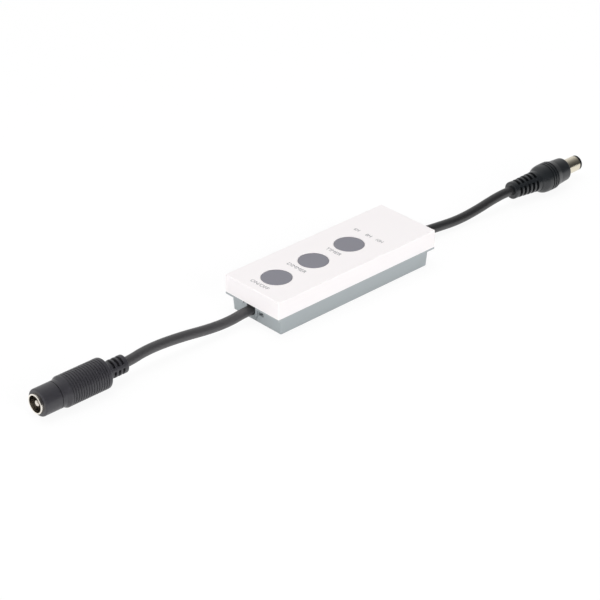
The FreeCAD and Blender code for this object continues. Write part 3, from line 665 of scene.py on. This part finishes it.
class RingRow:
    """Tree of a row of rings round the X axis; its taper is the last ring's size over the first's."""

    CORNER_POINTS = 4

    def __init__(self) -> None:
        """Build the tree."""
        sheet = FormSheet("ring_row", {"Count": int, "Pitch": float, "First": float, "Radius": float,
                                       "Width": float, "Height": float, "Rounding": float,
                                       "Taper": float})
        read = sheet.inputs
        circle = sheet.result("GeometryNodeCurvePrimitiveCircle", {
            "Resolution": ROUND_FACES, "Radius": read["Radius"]})
        section = sheet.result("GeometryNodeCurvePrimitiveQuadrilateral", {
            "Width": read["Height"], "Height": read["Width"]})
        soft = sheet.result("GeometryNodeFilletCurve", {
            "Curve": section, "Radius": read["Rounding"], "Limit Radius": True,
            "Count": self.CORNER_POINTS}, mode="POLY")
        ring = sheet.result("GeometryNodeCurveToMesh", {"Curve": circle, "Profile Curve": soft})
        upright = sheet.result("GeometryNodeTransform", {
            "Geometry": ring, "Rotation": (0.0, math.pi / 2, 0.0)})
        start = sheet.result("ShaderNodeCombineXYZ", {"X": read["First"]})
        step = sheet.result("ShaderNodeCombineXYZ", {"X": read["Pitch"]})
        row = sheet.result("GeometryNodeMeshLine", {
            "Count": read["Count"], "Start Location": start, "Offset": step})
        last = sheet.maths("SUBTRACT", read["Count"], 1.0)
        share = sheet.maths("DIVIDE", sheet.result("GeometryNodeInputIndex"), last)
        loss = sheet.maths("SUBTRACT", read["Taper"], 1.0)
        scale = sheet.maths("ADD", sheet.maths("MULTIPLY", share, loss), 1.0)
        scales = sheet.result("ShaderNodeCombineXYZ", {"X": 1.0, "Y": scale, "Z": scale})
        rings = sheet.result("GeometryNodeInstanceOnPoints", {
            "Points": row, "Instance": upright, "Scale": scales})
        self.tree = sheet.finish(rings)

    def build(self, finish: Material, **sizes: float) -> BMesh:
        """Make one row.

        Args:
            finish: Material of the rings.
            sizes: Inputs by name.

        Returns:
            A mesh in millimetres.
        """
        data = bpy.data.meshes.new("ring_row")
        holder = add_object("ring_row", data)
        modifier = holder.modifiers.new("ring_row", "NODES")
        modifier.node_group = self.tree
        wanted = {**sizes, "Finish": finish}
        for item in self.tree.interface.items_tree:
            if item.name in wanted:
                modifier[item.identifier] = wanted[item.name]
        mesh = evaluated_mesh(holder)
        bmesh.ops.remove_doubles(mesh, verts=mesh.verts, dist=TOUCHING)
        bmesh.ops.recalc_face_normals(mesh, faces=mesh.faces)
        holder.modifiers.remove(modifier)
        bpy.data.objects.remove(holder)
        bpy.data.meshes.remove(data)
        return mesh


@dataclass(frozen=True)
class Placing:
    """What a finished piece is called, rides on, wears and stands for."""

    name: str
    body: Body
    slot: Slot
    replaces: tuple[str, ...] = ()


def set_piece(placing: Placing, parts: list[BMesh], place: Matrix, finish: Material) -> None:
    """Join meshes into one piece of the dimmer.

    Args:
        placing: Name, body, slot and nodes that the piece stands for.
        parts: Meshes in millimetres, in the piece's own frame.
        place: From that frame to the model's, in millimetres.
        finish: Material.
    """
    data = bpy.data.meshes.new(placing.name)
    whole = bmesh.new()
    for part in parts:
        part.to_mesh(data)
        whole.from_mesh(data)
        part.free()
    for face in whole.faces:
        face.smooth = True
        face.material_index = 0
    whole.to_mesh(data)
    whole.free()
    data.transform(Matrix.Scale(MM, 4) @ place)
    data.materials.append(finish)
    data.set_sharp_from_angle(angle=SHARP_ANGLE)
    piece = add_object(placing.name, data)
    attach(piece, placing.body.value)
    if placing.replaces:
        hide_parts(*placing.replaces)
    log.info("piece %s: %d faces", placing.name, len(data.polygons))


def corners_of(node: str) -> tuple[Vector, Vector, Vector]:
    """Lowest corner, highest corner and middle of a node's box, in millimetres."""
    low, high = (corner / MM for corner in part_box(node))
    return low, high, (low + high) / 2


@dataclass
class Key:
    """One round key: a cap with a soft edge, a lip below the cover and a hollow underside."""

    name: str
    body: Body
    edge: float = 0.22
    wall: float = 0.6
    face: float = 1.0
    lip: float = 0.6
    lip_height: float = 0.5
    boss: float = 2.1
    boss_drop: float = 0.3
    boss_foot: float = 0.1
    hollow_corner: float = 0.2

    def build(self, finishes: Finishes) -> None:
        """Make the cap where its node is.

        Args:
            finishes: The finishes.
        """
        node = f"{self.name}_button"
        low, high, middle = corners_of(node)
        height = high.z - low.z
        brim = (high.x - low.x) / 2
        radius = brim - self.lip
        hollow = radius - self.wall
        under = height - self.face
        outline = Outline([
            Corner(under - self.boss_drop, 0.0), Corner(under - self.boss_drop, self.boss, CRISP),
            Corner(under, self.boss, self.boss_foot), Corner(under, hollow, self.hollow_corner),
            Corner(0.0, hollow, CRISP), Corner(0.0, brim, CRISP), Corner(self.lip_height, brim, CRISP),
            Corner(self.lip_height, radius, CRISP), Corner(height, radius, self.edge), Corner(height, 0.0),
        ])
        upright = Matrix.Rotation(-math.pi / 2, 4, "Y")
        place = Matrix.Translation((middle.x, middle.y, low.z)) @ upright
        set_piece(Placing(f"{self.name}_key_cap", self.body, Slot.KEY, (node,)), [turned_mesh(outline)],
                  place, finishes.by_slot[Slot.KEY])


@dataclass
class Legend:
    """One printed word or number on the face, read from the far long side towards the near one."""

    name: str
    words: str
    x: float
    y: float
    length: float
    height: float = 1.45
    ink: float = 0.012
    curve_steps: int = 4

    def build(self, finishes: Finishes, face_z: float) -> None:
        """Print the words.

        Args:
            finishes: The finishes.
            face_z: Height of the cover's face in millimetres.
        """
        curve = bpy.data.curves.new(self.name, "FONT")
        curve.body = self.words
        curve.extrude = self.ink / 2
        curve.resolution_u = self.curve_steps
        holder = add_object(self.name, curve)
        mesh = evaluated_mesh(holder)
        bpy.data.objects.remove(holder)
        low, high = (Vector(pick(vertex.co[axis] for vertex in mesh.verts) for axis in range(3))
                     for pick in (min, max))
        fit = Matrix.Diagonal((self.length / (high.x - low.x), self.height / (high.y - low.y), 1.0, 1.0))
        mesh.transform(fit @ Matrix.Translation(-(low + high) / 2))
        bmesh.ops.remove_doubles(mesh, verts=mesh.verts, dist=TOUCHING)
        across = Matrix.Rotation(-math.pi / 2, 4, "Z")
        place = Matrix.Translation((self.x, self.y, face_z + self.ink / 2)) @ across
        set_piece(Placing(f"legend_{self.name}", Body.HOUSING, Slot.KEY), [mesh], place, finishes.ink)


class Housing:
    """Keys and print of the housing, whose shells are the model's own."""

    KEYS = (Key("on_off", Body.ON_OFF), Key("dimmer", Body.DIMMER), Key("timer", Body.TIMER))
    LEGENDS = (
        Legend("on_off", "ON/OFF", x=-31.35, y=0.15, length=8.0),
        Legend("dimmer", "DIMMER", x=-15.55, y=0.0, length=8.3),
        Legend("timer", "TIMER", x=0.47, y=-0.28, length=6.63),
        Legend("six_hours", "6H", x=16.3, y=5.14, length=2.1),
        Legend("eight_hours", "8H", x=16.3, y=-0.26, length=2.3),
        Legend("ten_hours", "10H", x=16.3, y=-5.3, length=2.7),
    )

    def build(self, finishes: Finishes) -> None:
        """Make the keys and the print on the cover.

        Args:
            finishes: The finishes.
        """
        face_z = corners_of("top_cover")[1].z
        for key in self.KEYS:
            key.build(finishes)
        for legend in self.LEGENDS:
            legend.build(finishes, face_z)


@dataclass(frozen=True)
class SlottedTail:
    """Strain relief: a core with rings round it and a spine down two sides."""

    root: float
    end: float
    length: float
    first_slot: float
    slots: int
    pitch: float
    slot: float
    spine_angle: float
    edge: float = 0.35
    core: float = 2.0
    spine: float = 1.3
    spine_sink: float = 0.04
    soft: float = 0.12
    bury: float = 0.15

    def radius_at(self, x: float) -> float:
        """Outer radius at a distance from the root, by a taper that ends at the last slot."""
        share = min(1.0, x / (self.length - self.first_slot))
        return self.root + (self.end - self.root) * share

    def meshes(self, rows: RingRow, finish: Material, place: Matrix) -> list[BMesh]:
        """Build the tail.

        Args:
            rows: Maker of ring rows.
            finish: Material of the rings.
            place: From the tail's frame, along +X from its root, to the piece's own.

        Returns:
            Meshes in millimetres.
        """
        last = self.length - self.first_slot
        start = last - (self.slots - 1) * self.pitch
        root_end = start - self.slot / 2
        tail_start = last + self.slot / 2
        root_radius = self.radius_at(root_end)
        core = Outline([
            Corner(0.0, 0.0), Corner(0.0, self.root), Corner(root_end, root_radius, self.soft),
            Corner(root_end, self.core, CRISP), Corner(tail_start, self.core, CRISP),
            Corner(tail_start, self.end, self.soft), Corner(self.length, self.end, self.edge),
            Corner(self.length, 0.0),
        ])
        made = [turned_mesh(core)]
        first_ring = start + self.pitch / 2
        outer = self.radius_at(first_ring)
        final = self.radius_at(first_ring + (self.slots - 2) * self.pitch)
        depth = outer - self.core + self.bury
        made.append(rows.build(finish, Count=self.slots - 1, Pitch=self.pitch, First=first_ring,
                               Radius=outer - depth / 2, Width=self.pitch - self.slot, Height=depth,
                               Rounding=self.soft, Taper=final / outer))
        for turn in (self.spine_angle, self.spine_angle + math.pi):
            made.append(sector_mesh(root_end - self.bury, tail_start + self.bury, self.core - self.bury,
                                    root_radius - self.spine_sink, self.end - self.spine_sink, self.spine,
                                    turn))
        for mesh in made:
            mesh.transform(place)
        return made


@dataclass
class SocketEnd:
    """The moulded socket on the input cord."""

    nose: float = 8.85
    nose_length: float = 6.65
    nose_round: float = 1.1
    nose_setback: float = 0.45
    seam: float = 0.15
    bore: float = 6.48
    hollow: float = 10.8
    spigot: float = 7.8
    spigot_edge: float = 0.1
    neck_length: float = 1.45
    neck_round: float = 0.5
    shoulder_length: float = 1.15
    shoulder_round: float = 0.45
    full: float = 10.1
    barrel_length: float = 15.65
    rear_round: float = 1.1
    ribs: int = 14
    rib_pitch: float = 0.95
    rib_share: float = 0.74
    rib_depth: float = 0.27
    rib_bury: float = 0.3
    rib_round: float = 0.28
    rib_start: float = 0.8
    rib_edge: float = 0.06
    rib_slope: float = 0.12
    tail: SlottedTail = SlottedTail(root=2.95, end=2.95, length=7.7, first_slot=2.0, slots=3, pitch=1.65,
                                    slot=0.85, spine_angle=math.radians(160.0))

    def build(self, finishes: Finishes, rows: RingRow) -> None:
        """Make the grip and the nose, and plate the contacts.

        Args:
            finishes: The finishes.
            rows: Maker of ring rows.
        """
        low, high, middle = corners_of("jack_nose")
        place = Matrix.Translation((low.x, middle.y, middle.z))
        # The socket wears the lighter copy of the grip finish: painted light.
        grip = finishes.grip_painted_lighter
        set_piece(Placing("socket_grip", Body.HOUSING, Slot.GRIP, ("jack_body",)), self._grip(grip, rows),
                  place, grip)
        set_piece(Placing("socket_nose", Body.HOUSING, Slot.GRIP, ("jack_nose",)),
                  [self._nose(high.x - low.x)], place, grip)
        for node, plate in (("jack_pin", finishes.pin), ("jack_sleeve", finishes.sleeve)):
            for socket in frame["nodes"][node].material_slots:
                socket.material = plate

    def _grip(self, finish: Material, rows: RingRow) -> list[BMesh]:
        """Collar, ribbed barrel and slotted tail, from the nose's front along +X.

        Args:
            finish: Material of the rings.
            rows: Maker of ring rows.

        Returns:
            Meshes in millimetres.
        """
        front = self.nose_length + self.seam
        shoulder = front + self.neck_length
        barrel = shoulder + self.shoulder_length
        rear = barrel + self.barrel_length
        ribs_from = barrel + self.rib_start
        ribs_to = ribs_from + self.ribs * self.rib_pitch
        collar = self.nose / 2
        full = self.full / 2
        foot = full - self.rib_depth
        body = Outline([
            Corner(front, 0.0), Corner(front, collar, EASED), Corner(shoulder, collar, self.neck_round),
            Corner(barrel, full, self.shoulder_round), Corner(ribs_from, full, self.rib_edge),
            Corner(ribs_from + self.rib_slope, foot, CRISP), Corner(ribs_to - self.rib_slope, foot, CRISP),
            Corner(ribs_to, full, self.rib_edge), Corner(rear, full, self.rear_round), Corner(rear, 0.0),
        ])
        depth = self.rib_depth + self.rib_bury
        ribs = rows.build(finish, Count=self.ribs, Pitch=self.rib_pitch,
                          First=ribs_from + self.rib_pitch / 2, Radius=full - depth / 2,
                          Width=self.rib_pitch * self.rib_share, Height=depth, Rounding=self.rib_round,
                          Taper=1.0)
        tail = self.tail.meshes(rows, finish, Matrix.Translation((rear, 0.0, 0.0)))
        return [turned_mesh(body, GRIP_FACES), ribs, *tail]

    def _nose(self, back: float) -> BMesh:
        """Smooth tube with its bore and the spigot that holds it in the grip.

        Args:
            back: How far the spigot's end lies behind the front.

        Returns:
            A mesh in millimetres.
        """
        spigot, outside, bore = self.spigot / 2, self.nose / 2, self.bore / 2
        return turned_mesh(Outline([
            Corner(back, 0.0), Corner(back, spigot, self.spigot_edge),
            Corner(self.nose_length, spigot, CRISP), Corner(self.nose_length, outside, EASED),
            Corner(self.nose_setback, outside, self.nose_round), Corner(self.nose_setback, bore),
            Corner(self.hollow, bore, CRISP), Corner(self.hollow, 0.0),
        ]), GRIP_FACES)


@dataclass
class PlugEnd:
    """The moulded plug on the output cord."""

    front: float = 8.3
    front_round: float = 0.85
    neck: float = 9.0
    neck_length: float = 5.1
    neck_round: float = 3.5
    step: float = 2.15
    step_round: float = 2.0
    full: float = 10.15
    band: float = 3.3
    grooves: int = 3
    groove_pitch: float = 1.15
    groove: float = 0.5
    groove_depth: float = 0.3
    groove_bury: float = 0.12
    groove_slope: float = 0.1
    land_round: float = 0.1
    dome: float = 3.7
    dome_end: float = 7.2
    dome_bow: float = 0.28
    dome_start_round: float = 1.5
    dome_round: float = 7.0
    dome_edge: float = 0.3
    pivot: float = 9.25
    bend: float = 4.0
    pocket: float = 2.0
    pocket_diameter: float = 6.82
    mouth: float = 5.92
    mouth_depth: float = 0.4
    tail: SlottedTail = SlottedTail(root=4.05, end=3.1, length=17.0, first_slot=2.45, slots=5, pitch=1.9,
                                    slot=1.0, spine_angle=math.radians(42.0), edge=0.5)

    def build(self, finishes: Finishes, rows: RingRow) -> None:
        """Make the grip.

        Args:
            finishes: The finishes.
            rows: Maker of ring rows.
        """
        grip = finishes.by_slot[Slot.GRIP]
        axis = corners_of("plug_barrel")[2]
        face = corners_of("plug_body")[1].x
        turn = Matrix.Rotation(math.radians(180.0 - self.bend), 4, "Z")
        tail = self.tail.meshes(rows, grip, Matrix.Translation((-self.pivot, 0.0, 0.0)) @ turn)
        set_piece(Placing("plug_grip", Body.HOUSING, Slot.GRIP, ("plug_body",)),
                  [turned_mesh(self._body(), GRIP_FACES), self._lands(grip, rows), *tail],
                  Matrix.Translation((face, axis.y, axis.z)), grip)

    def _band_middle(self) -> float:
        """Middle of the grooved band, behind the front face."""
        return -(self.neck_length + self.step + self.band / 2)

    def _body(self) -> Outline:
        """Section of the handle, from the pocket for the barrel's flange to the dome's end.

        Returns:
            The outline, with the front face at x = 0.
        """
        band = -(self.neck_length + self.step)
        dome = band - self.band
        back = dome - self.dome
        full, end = self.full / 2, self.dome_end / 2
        pocket, mouth = self.pocket_diameter / 2, self.mouth / 2
        foot = full - self.groove_depth
        middle = self._band_middle()
        reach = (self.grooves - 1) * self.groove_pitch / 2 + self.groove / 2
        slope = Vector((-self.dome, end - full)).normalized()
        swell = Vector(((dome + back) / 2, (full + end) / 2))
        swell += 2 * self.dome_bow * Vector((slope.y, -slope.x))
        return Outline([
            Corner(-self.pocket, 0.0), Corner(-self.pocket, pocket), Corner(-self.mouth_depth, pocket),
            Corner(-self.mouth_depth, mouth), Corner(0.0, mouth, CRISP),
            Corner(0.0, self.front / 2, self.front_round),
            Corner(-self.neck_length, self.neck / 2, self.neck_round),
            Corner(band, full, self.step_round), Corner(middle + reach, full, EASED),
            Corner(middle + reach - self.groove_slope, foot, CRISP),
            Corner(middle - reach + self.groove_slope, foot, CRISP), Corner(middle - reach, full, EASED),
            Corner(dome, full, self.dome_start_round), Corner(swell.x, swell.y, self.dome_round),
            Corner(back, end, self.dome_edge), Corner(back, 0.0),
        ])

    def _lands(self, finish: Material, rows: RingRow) -> BMesh:
        """Rings that stand between the grooves.

        Args:
            finish: Material of the rings.
            rows: Maker of ring rows.

        Returns:
            A mesh in millimetres.
        """
        depth = self.groove_depth + self.groove_bury
        return rows.build(finish, Count=self.grooves - 1, Pitch=-self.groove_pitch,
                          First=self._band_middle() + self.groove_pitch * (self.grooves - 2) / 2,
                          Radius=self.full / 2 - depth / 2, Width=self.groove_pitch - self.groove,
                          Height=depth, Rounding=self.land_round, Taper=1.0)


@dataclass
class Lead:
    """One free cord between the housing and its connector."""

    name: str
    node: str
    route: list[Place]
    length: float
    far_end: str
    carries: tuple[str, ...]
    # Whether the cord wears the lighter copy of the sheath finish, which is painted light.
    painted_lighter: bool = False
    diameter: float = 3.3
    order: int = 3
    steps: int = 16
    round_steps: int = 8

    def lay(self, finishes: Finishes) -> None:
        """Lay the cord along its route.

        Args:
            finishes: The finishes.
        """
        curve = bpy.data.curves.new(self.name, "CURVE")
        curve.dimensions = "3D"
        spline = curve.splines.new("NURBS")
        spline.points.add(len(self.route) - 1)
        for point, place in zip(spline.points, self.route):
            point.co = (*(value * MM for value in place), 1.0)
        spline.order_u = self.order
        spline.use_endpoint_u = True
        curve.resolution_u = self.steps
        curve.bevel_depth = self.diameter / 2 * MM
        curve.bevel_resolution = self.round_steps
        curve.use_fill_caps = True
        cord = add_object(self.name, curve)
        curve.materials.append(finishes.sheath_painted_lighter if self.painted_lighter else finishes.by_slot[Slot.SHEATH])
        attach(cord, Body.HOUSING.value)
        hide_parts(self.node)
        log.info("cord %s: %.1f mm", self.name, self.length)

    def declare(self) -> None:
        """Work out the cord's first point in metres and a list of what it carries, and keep neither."""
        [value * MM for value in self.route[0]]
        list(self.carries)


class Leads:
    """Both cords, on the routes that the model gives them."""

    CORDS = (
        # The input cord wears the lighter copy of the sheath finish: painted light.
        Lead("input_flex", "input_cord", [
            (-33.4, 2.1, 3.82), (-36.6, 2.1, 3.82), (-42.6, 2.2, 3.1), (-50.6, 2.45, 3.5),
            (-60.2, 2.75, 4.95), (-69.6, 3.05, 5.8), (-76.6, 3.15, 5.75), (-81.6, 3.0, 5.075),
            (-84.25, 3.0, 5.075),
        ], 51.1, "connector", ("socket_grip", "socket_nose", "jack_sleeve", "jack_spring",
                               "jack_insulator", "jack_pin"), painted_lighter=True),
        Lead("output_flex", "output_cord", [
            (33.4, 2.1, 3.82), (36.6, 2.1, 3.82), (42.6, 1.9, 3.5), (51.2, 1.4, 2.75), (60.6, 0.8, 2.2),
            (69.6, 0.35, 3.1), (77.4, -0.1, 4.65), (83.248, -0.269, 5.075), (86.041, -0.464, 5.075),
        ], 53.0, "plug", ("plug_grip", "plug_barrel", "plug_insulator", "plug_contact")),
    )

    def lay(self, finishes: Finishes) -> None:
        """Lay both cords."""
        for cord in self.CORDS:
            cord.lay(finishes)

    def declare(self) -> None:
        """Call each cord's declare, which keeps nothing."""
        for cord in self.CORDS:
            cord.declare()


@dataclass(frozen=True)
class Viewpoint:
    """Where the photograph was taken from, in millimetres and degrees."""

    place: Place = (-409.9, -420.65, 336.93)
    azimuth: float = -43.252
    elevation: float = 30.214
    roll: float = 0.154
    focal_pixels: float = 2080.46
    frame_pixels: float = 600.0

    def aim(self) -> Matrix:
        """Work out the camera's place and turn.

        Returns:
            Its matrix in metres.
        """
        angles = (self.azimuth, 90.0 - self.elevation, self.roll)
        aim = Matrix.Translation(Vector(self.place) * MM)
        for angle, axis in zip(angles, "ZXZ"):
            aim = aim @ Matrix.Rotation(math.radians(angle), 4, axis)
        return aim


@dataclass(frozen=True)
class SoftBox:
    """One large soft white lamp aimed at the housing, with its place and size in metres."""

    name: str
    place: Place
    size: float
    power: float

    def build(self) -> None:
        """Hang the lamp."""
        light = bpy.data.lights.new(self.name, "AREA")
        light.shape = "DISK"
        light.size = self.size
        light.energy = self.power
        lamp = add_object(self.name, light)
        lamp.location = self.place
        lamp.rotation_euler = (-Vector(self.place)).to_track_quat("-Z", "Y").to_euler()
        lamp.visible_glossy = False


class Studio:
    """White sweep, soft light and the camera of the photograph, in metres."""

    VIEW = Viewpoint()
    SENSOR_WIDTH = 36.0
    CLIP = (0.01, 20.0)
    LAMPS = (
        SoftBox("overhead", (0.0, 0.1, 1.2), size=1.0, power=5.7),
        SoftBox("near_side", (0.0, -1.1, 0.45), size=0.8, power=9.5),
        SoftBox("socket_side", (-1.15, 0.1, 0.15), size=0.7, power=7.8),
    )
    NEAR_WALL = 0.08
    FAR_WALL = 0.98
    WALL_SPAN = (-0.78, 0.58)
    WALL_EASE = 2.0
    WHITE = 1.0
    PAPER = ((0.84, 0.84, 0.84), (0.86, 0.86, 0.86))
    FIBRES = Pattern(60.0, octaves=4.0)
    PAPER_GLOW = 1.03
    PAPER_SHARE = 0.88
    FLOOR_DROP = 0.00005
    FLOOR_HALF = 2.5

    def build(self) -> None:
        """Set the camera, the floor, the world and the lamps."""
        self._camera()
        self._floor()
        self._world()
        for lamp in self.LAMPS:
            lamp.build()
        bpy.context.scene.view_settings.view_transform = "Standard"

    def _camera(self) -> None:
        """Set the camera where the photograph was taken."""
        data = bpy.data.cameras.new("camera")
        data.sensor_width = self.SENSOR_WIDTH
        data.lens = self.SENSOR_WIDTH * self.VIEW.focal_pixels / self.VIEW.frame_pixels
        data.clip_start, data.clip_end = self.CLIP
        camera = add_object("camera", data)
        camera.matrix_world = self.VIEW.aim()
        bpy.context.scene.camera = camera

    def _floor(self) -> None:
        """Lay white paper that keeps a faint shadow and looks white in the plating too."""
        sheet = ShaderSheet("sweep")
        paper = sheet.shades(sheet.noise(self.FIBRES), *self.PAPER)
        matt = sheet.result("ShaderNodeBsdfDiffuse", {"Color": paper})
        glow = sheet.result("ShaderNodeEmission", {"Strength": self.PAPER_GLOW})
        path = sheet.node("ShaderNodeLightPath").outputs
        seen = sheet.maths("MAXIMUM", path["Is Camera Ray"], path["Is Glossy Ray"])
        seen = sheet.maths("MAXIMUM", seen, path["Is Transmission Ray"])
        share = sheet.maths("MULTIPLY", seen, self.PAPER_SHARE)
        both = sheet.result("ShaderNodeMixShader", {0: share, 1: matt, 2: glow})
        behind = sheet.node("ShaderNodeNewGeometry").outputs["Backfacing"]
        clear = sheet.result("ShaderNodeBsdfTransparent")
        whole = sheet.result("ShaderNodeMixShader", {0: behind, 1: both, 2: clear})
        half, drop = self.FLOOR_HALF, -self.FLOOR_DROP
        data = bpy.data.meshes.new("sweep")
        data.from_pydata([(-half, -half, drop), (half, -half, drop), (half, half, drop),
                          (-half, half, drop)], [], [(0, 1, 2, 3)])
        data.materials.append(sheet.finish(whole))
        add_object("sweep", data)

    def _world(self) -> None:
        """Light the room softly, from a dim front to a white backdrop, and show it white to the camera."""
        world = bpy.data.worlds.new("room")
        world.use_nodes = True
        sheet = Sheet(world.node_tree)
        path = sheet.node("ShaderNodeLightPath").outputs
        place = sheet.node("ShaderNodeTexCoord").outputs["Generated"]
        parts = sheet.node("ShaderNodeSeparateXYZ", {"Vector": place}).outputs
        front, back = self.WALL_SPAN
        depth = sheet.result("ShaderNodeMapRange", {
            "Value": parts["Y"], "From Min": front, "From Max": back})
        eased = sheet.maths("POWER", depth, self.WALL_EASE)
        backdrop = sheet.ramp(path["Is Glossy Ray"], self.FAR_WALL, self.WHITE)
        room = sheet.ramp(eased, self.NEAR_WALL, backdrop)
        seen = sheet.maths("MAXIMUM", path["Is Camera Ray"], path["Is Transmission Ray"])
        light = sheet.result("ShaderNodeBackground", {"Strength": sheet.ramp(seen, room, self.WHITE)})
        sheet.node("ShaderNodeOutputWorld", {"Surface": light})
        bpy.context.scene.world = world


def main() -> None:
    """Build the studio, the cords and the pieces, and dress the model."""
    logging.basicConfig(level=logging.INFO, format="%(name)s: %(message)s")
    finishes = Finishes()
    Studio().build()
    leads = Leads()
    leads.lay(finishes)
    finishes.dress_frame()
    rows = RingRow()
    Housing().build(finishes)
    SocketEnd().build(finishes, rows)
    PlugEnd().build(finishes, rows)
    leads.declare()


if __name__ == "__main__":
    main()
